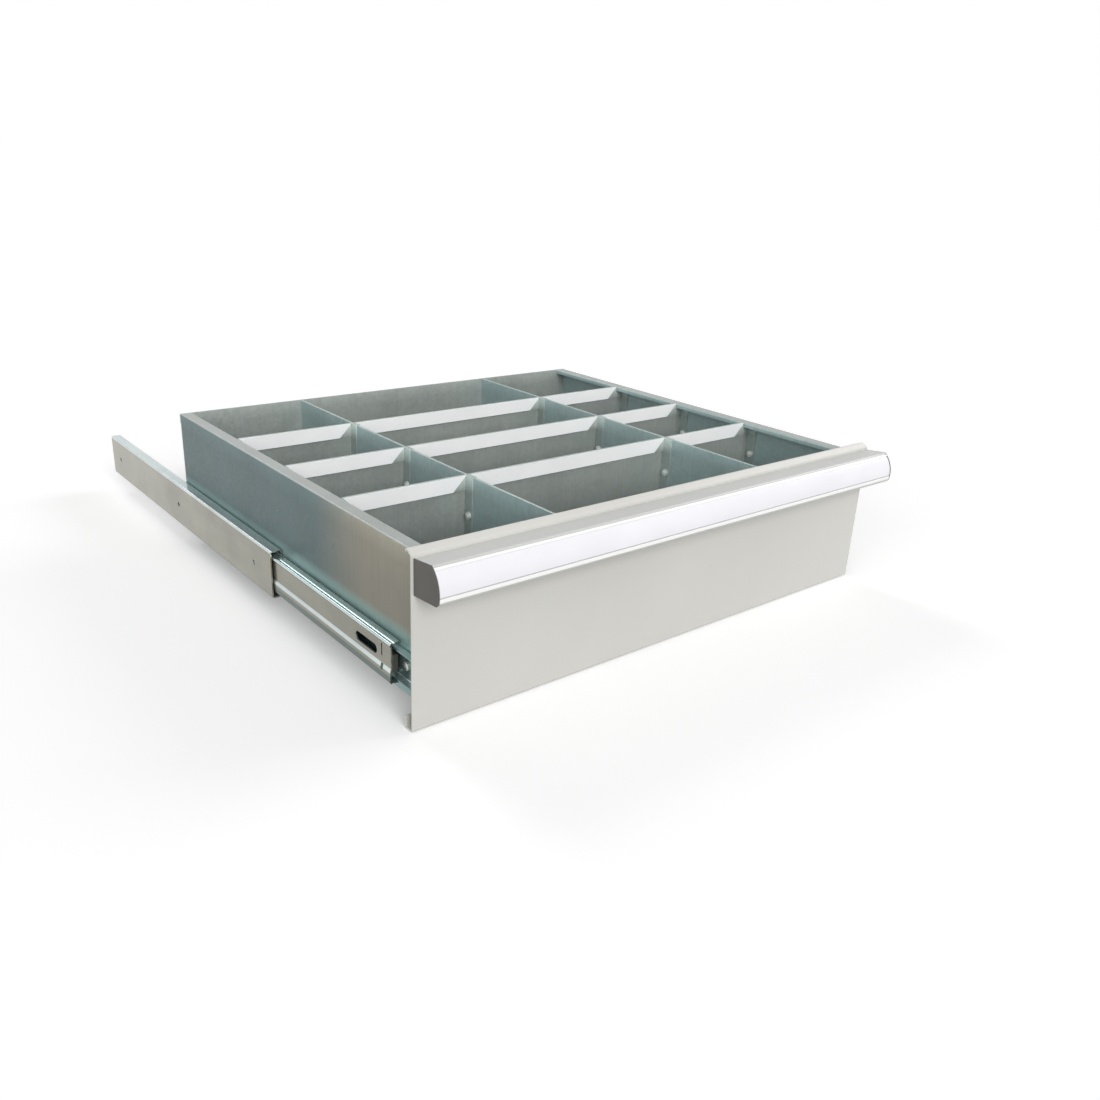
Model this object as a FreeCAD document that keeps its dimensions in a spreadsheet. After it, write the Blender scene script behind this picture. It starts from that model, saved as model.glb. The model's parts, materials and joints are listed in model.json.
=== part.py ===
"""Steel drawer with dividers on a pair of telescopic ball-bearing slides, in millimetres.

Frame: +X to the right, +Y into the cabinet, +Z up. The origin lies midway between the two
cabinet rails, at their front ends and at the height of the slides' centre line. The drawer
is drawn part of the way open, and the rails stay where a cabinet would hold them.
"""
import FreeCAD, Part
import math
import os
import re
import Sketcher

Vector = FreeCAD.Vector
Rotation = FreeCAD.Rotation
Placement = FreeCAD.Placement

# Sizes that can each be set by themselves.
DRIVING = {
    # cabinet opening and the state the drawer is drawn in
    "opening_width": 550.0,
    "middle_open": 203.0,
    "drawer_open": 26.0,
    "front_setback": 5.0,
    # front panel: a sheet with a rolled top edge, a rear flange and a hem along the bottom
    "front_side_gap": 2.0,
    "panel_face": 143.0,
    "panel_sheet": 1.2,
    "roll_depth": 5.6,
    "roll_rise": 3.4,
    "flange_depth": 7.8,
    "flange_lip": 2.4,
    "hem_depth": 11.0,
    "hem_rise": 10.0,
    "bend_radius": 2.0,
    "lip_bend_radius": 1.4,
    "stud_radius": 1.75,
    "stud_length": 6.6,
    "stud_inset": 8.0,
    "stud_low": 50.0,
    "stud_high_drop": 35.0,
    # grip: an extruded section, closed by two end caps, with a label holder in its front
    "grip_side_gap": 1.8,
    "grip_drop": 2.6,
    "grip_height": 28.1,
    "grip_wall": 2.0,
    "grip_radius": 26.6,
    "grip_centre_depth": 5.4,
    "grip_centre_drop": 18.0,
    "grip_top_angle": 50.4,
    "grip_bottom_angle": 12.3,
    "grip_lip_depth": 2.46,
    "grip_lip_drop": 2.41,
    "grip_nose_radius": 0.4,
    "cap_thickness": 1.0,
    "cap_tongue": 6.0,
    "recess_depth": 1.2,
    "holder_top_angle": 46.0,
    "holder_bottom_angle": 10.8,
    "holder_bead_top": 41.5,
    "holder_bead_bottom": 4.0,
    "holder_bead_radius": 0.2,
    "holder_play_angle": 0.2,
    "holder_web": 0.45,
    "label_top_angle": 39.5,
    "label_bottom_angle": 1.5,
    "label_thickness": 0.4,
    "screw_boss_height": 10.0,
    "screw_boss_depth": 9.0,
    "grip_screw_drop": 14.4,
    "grip_screw_spacing": 200.0,
    # drawer box: two sides, base, front wall and back
    "wall_sheet": 1.2,
    "box_bottom": 17.0,
    "box_depth": 470.0,
    "rim_drop": 3.8,
    "rim_width": 13.2,
    "rim_lip": 5.0,
    "base_flange": 13.0,
    "side_tab_width": 16.0,
    "side_tab_margin": 18.0,
    "back_hem": 10.0,
    # dividers
    "long_divider_x": 125.3,
    "long_divider_sheet": 2.4,
    "first_row": 142.0,
    "row_pitch": 104.0,
    "cross_sheet": 1.2,
    "cross_tab_depth": 9.5,
    "cross_hem": 14.0,
    "strip_thickness": 0.6,
    "strip_top_margin": 0.3,
    "divider_screw_drop": 36.2,
    "divider_screw_setback": 5.0,
    # slides
    "slide_thickness": 12.7,
    "slide_height": 44.0,
    "slide_sheet": 1.2,
    "rail_rear_gap": 20.0,
    "rail_section": 45.7,
    "rail_edge": 1.3,
    "rail_lip": 1.65,
    "rail_hole_radius": 2.3,
    "rail_first_hole": 37.0,
    "rail_hole_spacing": 192.0,
    "middle_shortfall": 6.0,
    "middle_section": 34.6,
    "middle_edge": 2.6,
    "middle_lip": 0.6,
    "web_recess": 0.8,
    "web_high_edge": 15.0,
    "web_top": 13.8,
    "web_bottom": 4.4,
    "bulge_top": 7.6,
    "bulge_radius": 4.0,
    "middle_slot_start": 20.5,
    "middle_slot_length": 33.0,
    "middle_slot_height": 8.0,
    "middle_slot_raise": 3.3,
    "stop_slit_start": 12.5,
    "stop_slit_width": 1.6,
    "stop_slit_top": 12.5,
    "stop_slit_bottom": 2.0,
    "bulge_gap_start": 11.0,
    "bulge_gap_width": 3.3,
    "bulge_gap_low": 9.6,
    "inner_start": 3.0,
    "inner_shortfall": 5.0,
    "inner_section": 26.0,
    "inner_depth": 7.0,
    "inner_first_screw": 22.0,
    "inner_screw_spacing": 192.0,
    # ball cages
    "outer_race_depth": 0.6,
    "inner_race_depth": 0.5,
    "ball_play": 0.15,
    "outer_ball_u": 8.0,
    "inner_ball_u": 4.6,
    "outer_cage_start": 118.0,
    "outer_cage_length": 205.0,
    "inner_cage_start": 133.0,
    "inner_cage_length": 195.0,
    "outer_cage_strip": 0.5,
    "cage_sheet": 0.8,
    "cage_gap": 0.6,
    "pocket_play": 0.15,
    "ball_pitch": 24.0,
    "ball_end": 18.5,
    # bumpers and release lever
    "bumper_length": 12.5,
    "bumper_half_height": 7.0,
    "bumper_inner": 3.3,
    "rail_bumper_length": 5.0,
    "rail_bumper_half_height": 14.0,
    "lever_pivot": 318.0,
    "lever_reach": 54.0,
    "lever_half_width": 3.2,
    "lever_boss_radius": 5.0,
    "lever_inner": 3.2,
    "lever_outer": 5.6,
    "pivot_radius": 2.0,
    "pivot_play": 0.08,
    "pivot_head_radius": 3.4,
    "pivot_head": 0.8,
    # fasteners
    "thread_radius": 1.75,
    "hole_play": 0.2,
    "pan_head_radius": 3.5,
    "pan_head_height": 2.4,
    "low_head_radius": 3.6,
    "low_head_height": 1.3,
    "nut_flats": 6.0,
    "nut_height": 2.8,
    # clearances
    "seat_gap": 0.05,
    "fit_gap": 0.1,
}

# Sizes that follow from the ones above.
DERIVED = {
    "body_half": "opening_width / 2 - slide_thickness",
    "panel_half": "opening_width / 2 - front_side_gap",
    "grip_half": "panel_half - grip_side_gap",
    "grip_insert_half": "grip_half - cap_thickness - fit_gap",
    "panel_top": "panel_face + roll_rise",
    "roll_angle": "atan(roll_rise / roll_depth)",
    "drawer_y": "-(middle_open + drawer_open + front_setback)",
    "drawer_z": "-slide_height",
    "middle_y": "-middle_open",
    "outer_cage_y": "outer_cage_start - middle_open / 2",
    "inner_cage_y": "inner_cage_start - middle_open - drawer_open / 2",
    "grip_back_top": "panel_face - grip_drop",
    "grip_bottom": "grip_back_top - grip_height",
    "grip_centre_height": "grip_back_top - grip_centre_drop",
    "grip_screw_height": "grip_back_top - grip_screw_drop",
    "stud_high": "panel_face - stud_high_drop",
    "rim_height": "panel_face - rim_drop",
    "divider_screw_height": "rim_height - divider_screw_drop",
    "rail_length": "box_depth - rail_rear_gap",
    "middle_length": "rail_length - middle_shortfall",
    "inner_length": "rail_length - inner_shortfall",
    "grip_low_y": "-grip_centre_depth - grip_radius * cos(grip_bottom_angle * 1deg)",
    "grip_low_z": "grip_centre_height - grip_radius * sin(grip_bottom_angle * 1deg)",
    "grip_lip_y": "grip_low_y + grip_lip_depth",
    "grip_lip_z": "grip_low_z - grip_lip_drop",
    "grip_inner_radius": "grip_radius - grip_wall - recess_depth",
    "recess_radius": "grip_radius - recess_depth",
    "holder_back": "recess_radius + seat_gap",
    "holder_face": "holder_back + holder_web",
    "label_back": "holder_face + seat_gap",
    "label_face": "label_back + label_thickness",
    "inside_half": "body_half - wall_sheet",
    "rim_inner": "body_half - rim_width",
    "panel_back": "panel_sheet + fit_gap",
    "cell_front": "panel_back + wall_sheet",
    "tab_front": "cell_front + fit_gap",
    "side_end": "box_depth - wall_sheet - fit_gap",
    "base_bottom": "box_bottom + wall_sheet + fit_gap",
    "floor_top": "base_bottom + wall_sheet",
    "under_rim": "rim_height - rim_lip - fit_gap * 3",
    "cell_face": "long_divider_x - long_divider_sheet / 2",
    "far_face": "long_divider_x + long_divider_sheet / 2",
    "plate_front": "strip_thickness + fit_gap + cross_sheet",
    "plate_back": "plate_front + cross_sheet",
    "strip_height": "cross_hem - strip_top_margin",
    "screw_hole": "thread_radius + hole_play",
    "rail_web": "slide_thickness - slide_sheet",
    "middle_web": "rail_web - outer_cage_strip - ball_play * 2",
    "recessed_web": "middle_web - web_recess",
    "rail_inside": "rail_section / 2 - slide_sheet",
    "middle_inside": "middle_section / 2 - slide_sheet",
    "outer_gap": "rail_inside - middle_section / 2 + outer_race_depth",
    "inner_gap": "middle_inside + inner_race_depth - inner_section / 2",
    "outer_ball": "outer_gap / 2 - ball_play",
    "inner_ball": "inner_gap / 2 - ball_play",
    "outer_ball_v": "rail_inside - outer_gap / 2",
    "inner_ball_v": "inner_section / 2 + inner_gap / 2",
    "inner_cage_web": "inner_depth + cage_gap",
    "short_screw": "wall_sheet + cross_sheet + fit_gap",
    "long_screw": "long_divider_sheet + cross_sheet * 2 + fit_gap * 2 + nut_height + 1",
}

doc = FreeCAD.newDocument("drawer_on_slides")
sheet = doc.addObject("Spreadsheet::Sheet", "Sizes")
nodes = []
cuts = []
bodies = {}


def fill_sheet():
    """Write each size in a row of its own: its name, its value and an alias for formulas."""
    sizes = {name: str(value) for name, value in DRIVING.items()}
    sizes.update({name: "=" + formula for name, formula in DERIVED.items()})
    for row, (name, text) in enumerate(sizes.items(), start=1):
        sheet.set(f"A{row}", name)
        sheet.set(f"B{row}", text)
        sheet.setAlias(f"B{row}", name)
    doc.recompute()


def bound(formula):
    """The formula with every size's name turned into a reference to its cell."""
    def cell(match):
        word = match.group(0)
        return f"Sizes.{word}" if word in DRIVING or word in DERIVED else word
    return re.sub(r"[a-z][a-z_]*[a-z]", cell, formula)


def value(formula):
    """The formula's present value as a plain number."""
    result = sheet.evalExpression(bound(formula))
    return float(getattr(result, "Value", result))


# ---- sketches and features -------------------------------------------------------------

def new_body(label, base=("0", "drawer_y", "drawer_z")):
    """An empty body whose placement is bound to three formulas."""
    body = doc.addObject("PartDesign::Body", label)
    body.Label = label
    for axis, formula in zip("xyz", base):
        body.setExpression(f"Placement.Base.{axis}", bound(formula))
    bodies[label] = body
    return body


def new_sketch(body, plane, offset):
    """A sketch on one of the body's own planes, moved along the plane's normal."""
    sketch = body.newObject("Sketcher::SketchObject", f"{body.Name}_sketch")
    support = [item for item in body.Origin.OriginFeatures if item.Role == f"{plane}_Plane"]
    sketch.AttachmentSupport = [(support[0], "")]
    sketch.MapMode = "FlatFace"
    sketch.setExpression("AttachmentOffset.Base.z", bound(offset))
    return sketch


def fix_point(sketch, geometry, end, place):
    """Hold a sketch point at a place given by two formulas."""
    for kind, formula in zip(("DistanceX", "DistanceY"), place):
        rule = Sketcher.Constraint(kind, -1, 1, geometry, end, value(formula))
        index = sketch.addConstraint(rule)
        sketch.setExpression(f"Constraints[{index}]", bound(formula))


def fix_radius(sketch, geometry, formula):
    """Hold the radius of a sketch circle or arc."""
    index = sketch.addConstraint(Sketcher.Constraint("Radius", geometry, value(formula)))
    sketch.setExpression(f"Constraints[{index}]", bound(formula))


def add_arc(sketch, start, end, centre, radius):
    """The shorter arc between two points. Returns its index and its first and last ends."""
    angles = [math.atan2(spot.y - centre.y, spot.x - centre.x) for spot in (start, end)]
    circle = Part.Circle(centre, Vector(0, 0, 1), radius)
    turn = (angles[1] - angles[0]) % (2 * math.pi)
    if turn <= math.pi:
        return sketch.addGeometry(Part.ArcOfCircle(circle, angles[0], angles[0] + turn)), 1, 2
    back = 2 * math.pi - turn
    return sketch.addGeometry(Part.ArcOfCircle(circle, angles[1], angles[1] + back)), 2, 1


def draw_outline(sketch, corners):
    """A closed outline. A corner with a third and fourth item starts an arc: centre, radius."""
    spots = [Vector(value(corner[0]), value(corner[1]), 0) for corner in corners]
    runs = []
    for number, corner in enumerate(corners):
        start = spots[number]
        end = spots[(number + 1) % len(spots)]
        if len(corner) > 2:
            centre = Vector(value(corner[2][0]), value(corner[2][1]), 0)
            runs.append(add_arc(sketch, start, end, centre, value(corner[3])))
        else:
            runs.append((sketch.addGeometry(Part.LineSegment(start, end)), 1, 2))
    for number, run in enumerate(runs):
        follower = runs[(number + 1) % len(runs)]
        sketch.addConstraint(Sketcher.Constraint("Coincident", run[0], run[2], follower[0], follower[1]))
    for run, corner in zip(runs, corners):
        fix_point(sketch, run[0], run[1], corner[:2])
        if len(corner) > 2:
            fix_radius(sketch, run[0], corner[3])


def draw_circles(sketch, centres, radius):
    """Circles of one radius at the given places."""
    for place in centres:
        middle = Vector(value(place[0]), value(place[1]), 0)
        index = sketch.addGeometry(Part.Circle(middle, Vector(0, 0, 1), value(radius)))
        fix_point(sketch, index, 3, place)
        fix_radius(sketch, index, radius)


def extrude(body, sketch, length):
    """Pad a sketch along its plane's normal."""
    feature = body.newObject("PartDesign::Pad", f"{body.Name}_pad")
    feature.Profile = sketch
    feature.setExpression("Length", bound(length))
    return feature


def cut_away(body, sketch, length):
    """Cut a sketch into the body, against its plane's normal."""
    before = body.Tip
    feature = body.newObject("PartDesign::Pocket", f"{body.Name}_cut")
    feature.Profile = sketch
    feature.Reversed = False
    feature.setExpression("Length", bound(length))
    cuts.append((feature, before))
    return feature


def normal_offset(plane, low, high, far):
    """The sketch's offset for a feature that fills low to high along the plane's axis.

    The XZ plane's normal is -Y and the other two point along +Z and +X, so a pad starts from
    opposite ends there, and a cut from the end a pad doesn't start from.
    """
    backwards = plane == "XZ"
    chosen = high if backwards != far else low
    return f"-({chosen})" if backwards else chosen


def add_prism(body, plane, low, high, corners):
    """A straight prism over an outline, from low to high along the plane's axis."""
    sketch = new_sketch(body, plane, normal_offset(plane, low, high, False))
    draw_outline(sketch, corners)
    return extrude(body, sketch, f"({high}) - ({low})")


def add_rods(body, plane, low, high, centres, radius):
    """Round rods from low to high along the plane's axis."""
    sketch = new_sketch(body, plane, normal_offset(plane, low, high, False))
    draw_circles(sketch, centres, radius)
    return extrude(body, sketch, f"({high}) - ({low})")


def cut_prism(body, plane, low, high, corners):
    """A straight cut over an outline, from low to high along the plane's axis."""
    sketch = new_sketch(body, plane, normal_offset(plane, low, high, True))
    draw_outline(sketch, corners)
    return cut_away(body, sketch, f"({high}) - ({low})")


def cut_holes(body, plane, low, high, centres, radius):
    """Round holes from low to high along the plane's axis."""
    sketch = new_sketch(body, plane, normal_offset(plane, low, high, True))
    draw_circles(sketch, centres, radius)
    return cut_away(body, sketch, f"({high}) - ({low})")


def rectangle(left, right, low, high):
    """The four corners of a rectangle."""
    return [(left, low), (left, high), (right, high), (right, low)]


def round_edges(body, plane, places, radius):
    """Fillet the straight edges that run along the plane's axis through the given places."""
    doc.recompute()
    axis = {"YZ": 0, "XZ": 1, "XY": 2}[plane]
    across = [index for index in range(3) if index != axis]
    spots = [(value(place[0]), value(place[1])) for place in places]
    before = body.Tip
    chosen = []
    for number, edge in enumerate(before.Shape.Edges, start=1):
        first, last = edge.Vertexes[0].Point, edge.Vertexes[-1].Point
        along = abs(first[axis] - last[axis]) > 1e-6
        straight = all(abs(first[index] - last[index]) < 1e-6 for index in across)
        for spot in spots:
            near = all(abs(first[index] - spot[turn]) < 1e-4 for turn, index in enumerate(across))
            if along and straight and near:
                chosen.append(f"Edge{number}")
    if not chosen:
        raise RuntimeError(f"{body.Label} has no edge to round at {spots}")
    feature = body.newObject("PartDesign::Fillet", f"{body.Name}_fillet")
    feature.Base = (before, chosen)
    feature.setExpression("Radius", bound(radius))
    return feature


def keep(item, label=None):
    """List an object as one of the nodes that are written out."""
    if label:
        item.Label = label
    nodes.append(item)
    return item


def mirrored(source, label):
    """The same piece on the right-hand side."""
    copy = doc.addObject("Part::Mirroring", label)
    copy.Source = source
    copy.Normal = Vector(1, 0, 0)
    return keep(copy, label)


def both_sides(source, name):
    """Keep a left-hand piece, and its mirror image for the right."""
    keep(source, f"left_{name}")
    mirrored(source, f"right_{name}")


def group(label, copies, base=("0", "drawer_y", "drawer_z")):
    """Separate copies of small pieces as one node. Each copy is (piece, place, rotation)."""
    links = []
    for piece, place, rotation in copies:
        link = doc.addObject("App::Link", f"{label}_copy")
        link.LinkedObject = piece
        link.Placement = Placement(Vector(0, 0, 0), rotation)
        for axis, formula, start in zip("xyz", place, base):
            link.setExpression(f"Placement.Base.{axis}", bound(f"({formula}) + ({start})"))
        links.append(link)
    compound = doc.addObject("Part::Compound", label)
    compound.Links = links
    return compound


TO_LEFT = Rotation(Vector(0, 1, 0), -90)
TO_RIGHT = Rotation(Vector(0, 1, 0), 90)
TO_REAR = Rotation(Vector(1, 0, 0), -90)
UPRIGHT = Rotation()


# ---- fasteners -------------------------------------------------------------------------

def screw(name, head_radius, head_height, length):
    """A screw along Z: its domed head above zero and its thread below."""
    body = new_body(name, ("0", "0", "0"))
    sketch = new_sketch(body, "XZ", "0")
    rim = f"{head_height} * 0.45"
    dome = f"({head_radius} ^ 2 + ({head_height} * 0.55) ^ 2) / (2 * {head_height} * 0.55)"
    corners = [
        ("0", f"-({length})"),
        ("thread_radius", f"-({length})"),
        ("thread_radius", "0"),
        (head_radius, "0"),
        (head_radius, rim, ("0", f"{head_height} - {dome}"), dome),
        ("0", head_height),
    ]
    draw_outline(sketch, corners)
    turned = body.newObject("PartDesign::Revolution", f"{name}_turned")
    turned.Profile = sketch
    turned.ReferenceAxis = (sketch, ["V_Axis"])
    turned.Angle = 360.0
    return body


def hexagon_nut(name):
    """A hexagon nut along Z, from zero upwards."""
    body = new_body(name, ("0", "0", "0"))
    corners = []
    for turn in range(6):
        angle = f"{60 * turn + 30}deg"
        reach = "nut_flats / 2 / cos(30deg)"
        corners.append((f"{reach} * cos({angle})", f"{reach} * sin({angle})"))
    add_prism(body, "XY", "0", "nut_height", corners)
    cut_holes(body, "XY", "-1", "nut_height + 1", [("0", "0")], "thread_radius + seat_gap")
    return body


# ---- front panel and grip --------------------------------------------------------------

def stud_places():
    """Where the panel's studs stand, across and up."""
    across = "inside_half - stud_inset"
    heights = ("stud_low", "stud_high")
    return [(f"{sign}({across})", height) for sign in ("-", "") for height in heights]


def grip_screw_places():
    """Where the grip's screws go through the panel, across and up."""
    return [(f"{step} * grip_screw_spacing", "grip_screw_height") for step in (-1, 0, 1)]


def front_panel():
    """The face sheet with its rolled top, rear flange and bottom hem."""
    body = new_body("front_panel")
    face_inset = "panel_sheet * tan((90deg - roll_angle) / 2)"
    top_inset = "panel_sheet * tan(roll_angle / 2)"
    corners = [
        ("0", "0"),
        ("0", "panel_face"),
        ("roll_depth", "panel_top"),
        ("flange_depth", "panel_top"),
        ("flange_depth", "panel_top - flange_lip"),
        ("flange_depth - panel_sheet", "panel_top - flange_lip"),
        ("flange_depth - panel_sheet", "panel_top - panel_sheet"),
        (f"roll_depth + {top_inset}", "panel_top - panel_sheet"),
        ("panel_sheet", f"panel_face - {face_inset}"),
        ("panel_sheet", "panel_sheet"),
        ("hem_depth - panel_sheet", "panel_sheet"),
        ("hem_depth - panel_sheet", "hem_rise"),
        ("hem_depth", "hem_rise"),
        ("hem_depth", "0"),
    ]
    add_prism(body, "YZ", "-panel_half", "panel_half", corners)
    outer = [corners[number] for number in (0, 1, 2, 13)]
    round_edges(body, "YZ", outer, "bend_radius")
    round_edges(body, "YZ", [corners[3]], "lip_bend_radius")
    inner = [corners[number] for number in (9, 10)]
    round_edges(body, "YZ", inner, "bend_radius - panel_sheet")
    round_edges(body, "YZ", [corners[6]], "lip_bend_radius - panel_sheet")
    cut_holes(body, "XZ", "-1", "panel_sheet + 1", grip_screw_places(), "screw_hole")
    return body


def weld_stud():
    """A plain stud along Z, from zero upwards, which is welded to the panel's back."""
    body = new_body("weld_stud", ("0", "0", "0"))
    add_rods(body, "XY", "0", "stud_length", [("0", "0")], "stud_radius")
    return body


def grip_point(radius, angle):
    """A point on an arc about the grip's centre, by radius and angle above level."""
    along = f"-grip_centre_depth - ({radius}) * cos(({angle}) * 1deg)"
    height = f"grip_centre_height + ({radius}) * sin(({angle}) * 1deg)"
    return along, height


GRIP_CENTRE = ("-grip_centre_depth", "grip_centre_height")


def grip_profile():
    """The extruded grip: back wall, top, curved front with its recess, and lower lip."""
    body = new_body("grip_profile")
    start_lip = grip_point("grip_radius", "grip_top_angle")
    end_lip = grip_point("grip_radius", "holder_top_angle")
    recess_start = grip_point("recess_radius", "holder_top_angle")
    recess_end = grip_point("recess_radius", "-holder_bottom_angle")
    low_lip = grip_point("grip_radius", "-holder_bottom_angle")
    low_end = grip_point("grip_radius", "-grip_bottom_angle")
    inner_low = grip_point("grip_inner_radius", "-grip_bottom_angle")
    inner_top = grip_point("grip_inner_radius", "grip_top_angle - 4")
    corners = [
        ("-seat_gap", "grip_bottom"),
        ("-seat_gap", "grip_back_top"),
        (*start_lip, GRIP_CENTRE, "grip_radius"),
        end_lip,
        (*recess_start, GRIP_CENTRE, "recess_radius"),
        recess_end,
        (*low_lip, GRIP_CENTRE, "grip_radius"),
        low_end,
        ("grip_lip_y", "grip_lip_z"),
        (*inner_low, GRIP_CENTRE, "grip_inner_radius"),
        inner_top,
        ("-grip_wall", "grip_back_top - grip_wall"),
        ("-grip_wall", "grip_screw_height + screw_boss_height / 2"),
        ("-screw_boss_depth", "grip_screw_height + screw_boss_height / 2"),
        ("-screw_boss_depth", "grip_screw_height - screw_boss_height / 2"),
        ("-grip_wall", "grip_screw_height - screw_boss_height / 2"),
        ("-grip_wall", "grip_bottom"),
    ]
    end = "(grip_half - cap_thickness)"
    add_prism(body, "YZ", f"-{end}", end, corners)
    round_edges(body, "YZ", [start_lip], "grip_wall / 3")
    round_edges(body, "YZ", [low_end], "grip_nose_radius")
    cut_holes(body, "XZ", "-screw_boss_depth + 1", "1", grip_screw_places(), "thread_radius + seat_gap")
    return body


def grip_end_cap():
    """The left end cap: a plate over the whole section, with a tongue inside it."""
    body = new_body("left_grip_end_cap")
    corners = [
        ("-seat_gap", "grip_bottom"),
        ("-seat_gap", "grip_back_top"),
        (*grip_point("grip_radius", "grip_top_angle"), GRIP_CENTRE, "grip_radius"),
        grip_point("grip_radius", "-grip_bottom_angle"),
        ("grip_lip_y", "grip_lip_z"),
    ]
    outer = "-grip_half"
    inner = "-grip_half + cap_thickness"
    add_prism(body, "YZ", outer, inner, corners)
    round_edges(body, "YZ", [corners[2][:2]], "grip_wall / 3")
    round_edges(body, "YZ", [corners[3]], "grip_nose_radius")
    tongue_low = "grip_back_top - grip_wall * 3"
    tongue_high = "grip_back_top - grip_wall - fit_gap"
    tongue = rectangle("-grip_centre_depth * 3", "-grip_wall - fit_gap", tongue_low, tongue_high)
    add_prism(body, "YZ", inner, f"{inner} + cap_tongue", tongue)
    return body


def grip_label_holder():
    """The curved holder in the grip's recess: a thin web between two raised beads."""
    body = new_body("grip_label_holder")
    top = "holder_top_angle - holder_play_angle"
    bottom = "holder_play_angle - holder_bottom_angle"
    corners = [
        (*grip_point("grip_radius", top), GRIP_CENTRE, "grip_radius"),
        grip_point("grip_radius", "holder_bead_top"),
        (*grip_point("holder_face", "holder_bead_top"), GRIP_CENTRE, "holder_face"),
        grip_point("holder_face", "-holder_bead_bottom"),
        (*grip_point("grip_radius", "-holder_bead_bottom"), GRIP_CENTRE, "grip_radius"),
        grip_point("grip_radius", bottom),
        (*grip_point("holder_back", bottom), GRIP_CENTRE, "holder_back"),
        grip_point("holder_back", top),
    ]
    add_prism(body, "YZ", "-grip_insert_half", "grip_insert_half", corners)
    round_edges(body, "YZ", [corners[number] for number in (0, 1, 4, 5)], "holder_bead_radius")
    return body


def grip_label():
    """The curved label strip between the holder's beads."""
    body = new_body("grip_label_strip")
    corners = [
        (*grip_point("label_face", "label_top_angle"), GRIP_CENTRE, "label_face"),
        grip_point("label_face", "-label_bottom_angle"),
        (*grip_point("label_back", "-label_bottom_angle"), GRIP_CENTRE, "label_back"),
        grip_point("label_back", "label_top_angle"),
    ]
    add_prism(body, "YZ", "-grip_insert_half", "grip_insert_half", corners)
    return body


# ---- drawer box ------------------------------------------------------------------------

def box_side():
    """The left side: wall, box rim turned inwards, base flange and a tab for the studs."""
    body = new_body("left_side_wall")
    rim_inside = "-rim_inner - wall_sheet"
    corners = [
        ("-body_half", "box_bottom"),
        ("-body_half", "rim_height"),
        ("-rim_inner", "rim_height"),
        ("-rim_inner", "rim_height - rim_lip"),
        (rim_inside, "rim_height - rim_lip"),
        (rim_inside, "rim_height - wall_sheet"),
        ("-inside_half", "rim_height - wall_sheet"),
        ("-inside_half", "box_bottom + wall_sheet"),
        ("-inside_half + base_flange", "box_bottom + wall_sheet"),
        ("-inside_half + base_flange", "box_bottom"),
    ]
    add_prism(body, "XZ", "panel_back", "side_end", corners)
    round_edges(body, "XZ", [corners[number] for number in (0, 1, 2)], "bend_radius")
    round_edges(body, "XZ", [corners[number] for number in (5, 6, 7)], "bend_radius - wall_sheet")
    tab = rectangle("-inside_half - seat_gap", "-inside_half + side_tab_width",
                    "stud_low - side_tab_margin", "stud_high + side_tab_margin")
    add_prism(body, "XZ", "tab_front", "tab_front + wall_sheet", tab)
    studs = [place for place in stud_places() if place[0].startswith("-")]
    cut_holes(body, "XZ", "tab_front - 1", "tab_front + wall_sheet + 1", studs,
              "stud_radius + hole_play")
    cut_holes(body, "YZ", "-body_half - 1", "-inside_half + 1", inner_screw_places(), "screw_hole")
    cut_holes(body, "YZ", "-body_half - 1", "-inside_half + 1", divider_screw_places(), "screw_hole")
    return body


def box_front():
    """The wall that lies against the front panel's back, notched under the rims."""
    body = new_body("front_wall")
    edge = "inside_half - fit_gap"
    shoulder = "rim_inner - fit_gap"
    corners = [
        (f"-({edge})", "floor_top + fit_gap"),
        (f"-({edge})", "under_rim"),
        (f"-({shoulder})", "under_rim"),
        (f"-({shoulder})", "rim_height"),
        (shoulder, "rim_height"),
        (shoulder, "under_rim"),
        (edge, "under_rim"),
        (edge, "floor_top + fit_gap"),
    ]
    add_prism(body, "XZ", "panel_back", "cell_front", corners)
    cut_holes(body, "XZ", "panel_back - 1", "cell_front + 1", stud_places(), "stud_radius + hole_play")
    cut_holes(body, "XZ", "panel_back - 1", "cell_front + 1", grip_screw_places(), "screw_hole")
    return body


def box_back():
    """The back plate across both sides, with its top edge hemmed on the outside."""
    body = new_body("back_wall")
    plate = rectangle("-body_half", "body_half", "box_bottom", "rim_height")
    add_prism(body, "XZ", "box_depth - wall_sheet", "box_depth", plate)
    hem = rectangle("-body_half", "body_half", "rim_height - back_hem", "rim_height")
    add_prism(body, "XZ", "box_depth", "box_depth + wall_sheet", hem)
    return body


def box_base():
    """The base sheet, which rests on the sides' flanges."""
    body = new_body("base_sheet")
    edge = "inside_half - (bend_radius - wall_sheet) - fit_gap"
    sheet_outline = rectangle(f"-({edge})", edge, "panel_back", "side_end")
    add_prism(body, "XY", "base_bottom", "floor_top", sheet_outline)
    return body


# ---- dividers --------------------------------------------------------------------------

ROWS = range(3)


def row_front(row):
    """Where a row's label strips face the user, measured from the panel's face."""
    return f"first_row + {row} * row_pitch"


def divider_screw_places():
    """Where each row's screws pass through the walls, along and up."""
    return [(f"{row_front(row)} - divider_screw_setback", "divider_screw_height") for row in ROWS]


def long_divider():
    """The left long divider, from the front wall to the back."""
    body = new_body("left_long_divider")
    outline = rectangle("cell_front + fit_gap", "side_end", "floor_top + fit_gap", "rim_height")
    add_prism(body, "YZ", "-far_face", "-cell_face", outline)
    crown = [("-far_face", "rim_height"), ("-cell_face", "rim_height")]
    cut_holes(body, "YZ", "-far_face - 1", "-cell_face + 1", divider_screw_places(), "screw_hole")
    round_edges(body, "XZ", crown, "long_divider_sheet / 4")
    return body


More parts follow.
